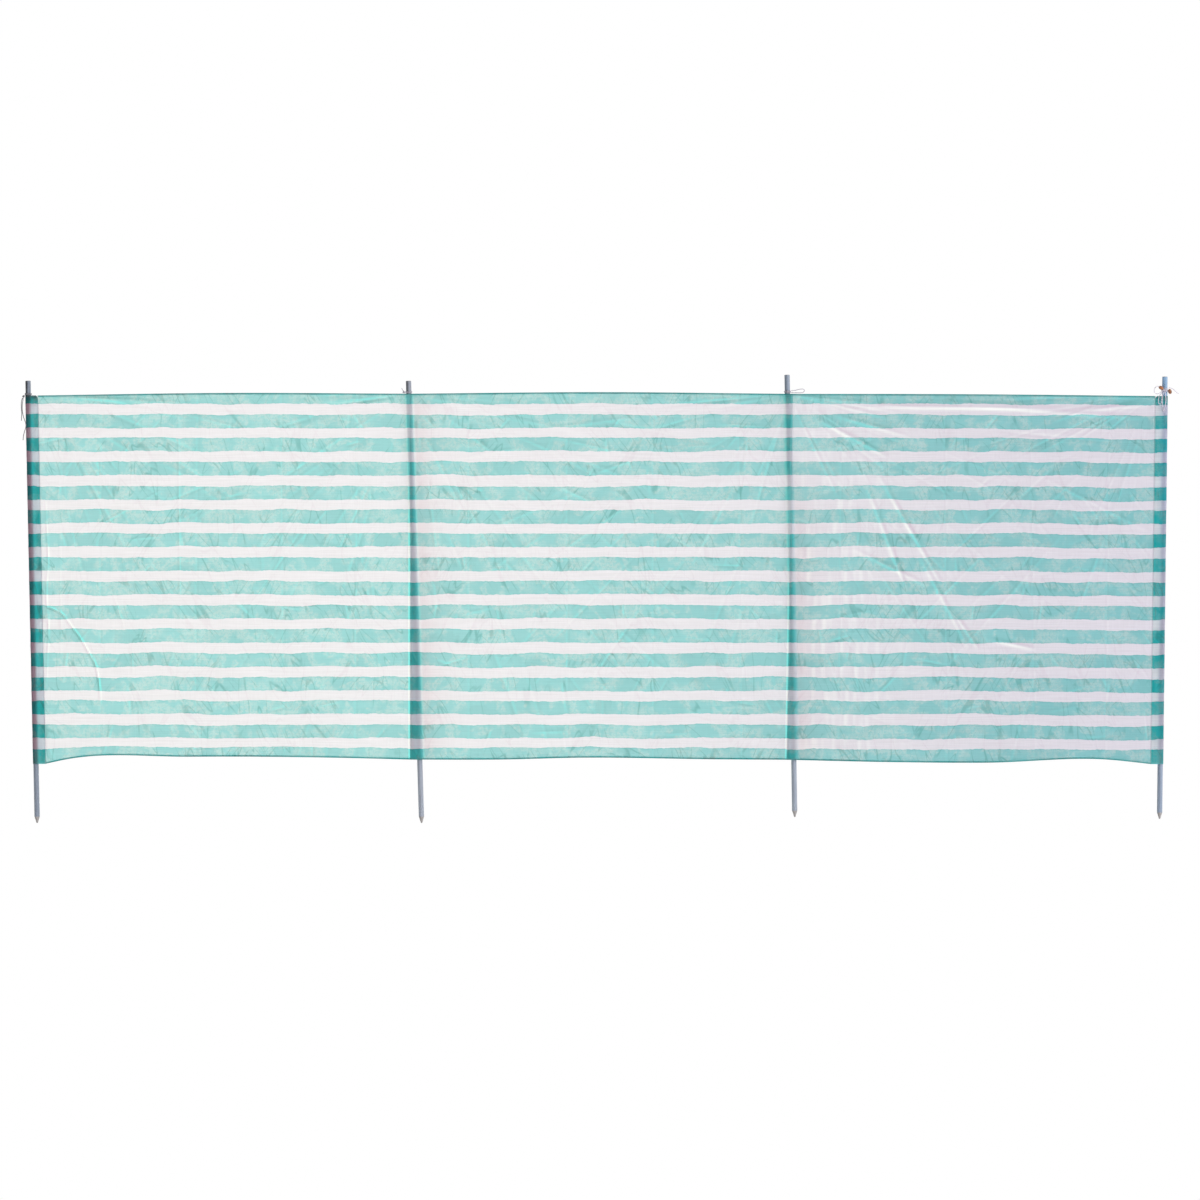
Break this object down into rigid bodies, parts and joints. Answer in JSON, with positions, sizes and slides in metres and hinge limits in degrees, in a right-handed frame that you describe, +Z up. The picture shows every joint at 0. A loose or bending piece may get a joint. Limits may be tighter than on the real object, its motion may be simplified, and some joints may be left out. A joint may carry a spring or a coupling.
{
  "type": "beach windbreak",
  "caption": "Striped cloth windbreak in bays on pointed wooden poles, each held in a sewn pocket and tied with cord at the top.",
  "frame": {"origin": "the middle of the blunt foot of the first pole, which is the left one seen from the front", "axes": "+X along the windbreak from the first pole to the last, -Y out of the smooth front of the cloth, +Z up"},
  "size_m": [3.7171, 0.0497, 1.439],
  "materials": {
    "pole_paint": "thin pale blue-grey paint on round softwood, bare at the point and at the sawn top",
    "striped_cloth": "thin woven polyester, white with painted-looking sea-green stripes, lets light through",
    "tie_cord": "twisted off-white cord",
    "bead_wood": "varnished brown wooden beads"
  },
  "bodies": {
    "root": {"pole_1": "pole_paint", "pole_2": "pole_paint", "pole_3": "pole_paint", "pole_4": "pole_paint", "pocket_1": "striped_cloth", "pocket_2": "striped_cloth", "pocket_3": "striped_cloth", "pocket_4": "striped_cloth", "panel_1": "striped_cloth", "panel_2": "striped_cloth", "panel_3": "striped_cloth", "top_hem_1": "striped_cloth", "top_hem_2": "striped_cloth", "top_hem_3": "striped_cloth", "bottom_hem_1": "striped_cloth", "bottom_hem_2": "striped_cloth", "bottom_hem_3": "striped_cloth", "lashing_1": "tie_cord", "lashing_2": "tie_cord", "lashing_3": "tie_cord", "lashing_4": "tie_cord", "knot_1": "tie_cord", "knot_2": "tie_cord", "knot_3": "tie_cord", "knot_4": "tie_cord", "tail_knot": "tie_cord", "tail_long": "tie_cord", "tail_short": "tie_cord", "side_loop": "tie_cord", "bow_loop": "tie_cord", "hanging_loop": "tie_cord", "right_tail": "tie_cord", "front_tail_left": "tie_cord", "front_tail_right": "tie_cord", "bead_left": "bead_wood", "bead_right": "bead_wood"}
  },
  "joints": []
}
